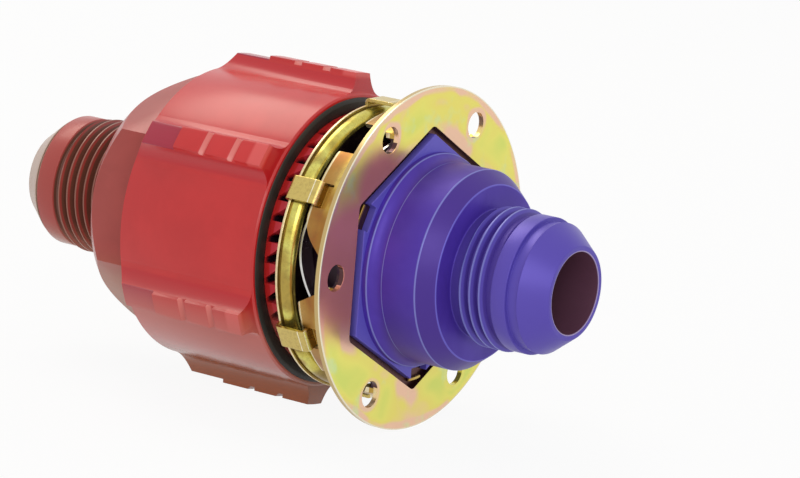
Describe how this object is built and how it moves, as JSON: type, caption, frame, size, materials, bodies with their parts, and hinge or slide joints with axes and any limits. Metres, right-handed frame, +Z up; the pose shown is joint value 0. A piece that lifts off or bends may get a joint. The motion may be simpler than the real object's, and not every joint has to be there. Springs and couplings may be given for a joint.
{
  "type": "quick-disconnect coupling",
  "caption": "Self-sealing screw coupling, both halves mated, with a bolted bulkhead flange, ribbed union nut, ratchet lock ring and flared tube ends.",
  "frame": {"origin": "centre of the flange's bolt circle, on the flange's front face", "axes": "+X along the coupling's axis towards the bulkhead half's flare end, +Z up through a corner of the hexagon"},
  "size_m": [0.1242, 0.066, 0.066],
  "materials": {
    "blue_anodise": "satin blue-violet anodised aluminium",
    "red_anodise": "satin red anodised aluminium",
    "dull_red_anodise": "dull brown-red anodised aluminium",
    "yellow_chromate": "zinc plated steel with iridescent yellow chromate",
    "bare_aluminium": "turned aluminium",
    "spring_steel": "bright spring steel",
    "black_rubber": "matte black elastomer"
  },
  "bodies": {
    "male_half": {"male_body": "blue_anodise", "flange_plate": "yellow_chromate", "lock_ring_cup": "yellow_chromate", "cup_retaining_ring": "spring_steel", "poppet_guide": "bare_aluminium", "guide_snap_ring": "spring_steel", "interface_seal": "black_rubber", "wave_spring": "spring_steel", "poppet_spring": "spring_steel"},
    "lock_ring": {"lock_ring": "yellow_chromate"},
    "poppet": {"poppet": "bare_aluminium", "poppet_seal": "black_rubber"},
    "female_half": {"female_body": "dull_red_anodise", "valve_stem": "bare_aluminium", "stem_seal": "black_rubber", "stem_spider": "bare_aluminium", "stem_lock_nut": "spring_steel", "nut_load_ring": "spring_steel", "sleeve_spring": "spring_steel"},
    "valve_sleeve": {"valve_sleeve": "bare_aluminium", "sleeve_seal": "black_rubber"},
    "union_nut": {"union_nut": "red_anodise", "nut_dust_ring": "black_rubber"}
  },
  "joints": [
    {"name": "hose_half_slide", "type": "slide", "parent": "male_half", "child": "female_half", "axis": [-1, 0, 0], "range_m": [0, 0.008]},
    {"name": "nut_turn", "type": "hinge", "parent": "female_half", "child": "union_nut", "pos_m": [-0.035, 0, 0], "axis": [-1, 0, 0], "range_deg": [0, 360]},
    {"name": "sleeve_slide", "type": "slide", "parent": "female_half", "child": "valve_sleeve", "axis": [1, 0, 0], "range_m": [0, 0.008], "deforming": ["sleeve_spring"]},
    {"name": "poppet_slide", "type": "slide", "parent": "male_half", "child": "poppet", "axis": [-1, 0, 0], "range_m": [0, 0.008], "deforming": ["poppet_spring"]},
    {"name": "lock_ring_slide", "type": "slide", "parent": "male_half", "child": "lock_ring", "axis": [1, 0, 0], "range_m": [0, 0.0015], "stiffness_N_per_m": 2000, "springref_m": -0.005, "deforming": ["wave_spring"]}
  ],
  "couplings": [
    {"joint": "hose_half_slide", "follows": "nut_turn", "m_per_rad": 0.0012732},
    {"joint": "sleeve_slide", "follows": "nut_turn", "m_per_rad": 0.0012732},
    {"joint": "poppet_slide", "follows": "nut_turn", "m_per_rad": 0.0012732}
  ]
}
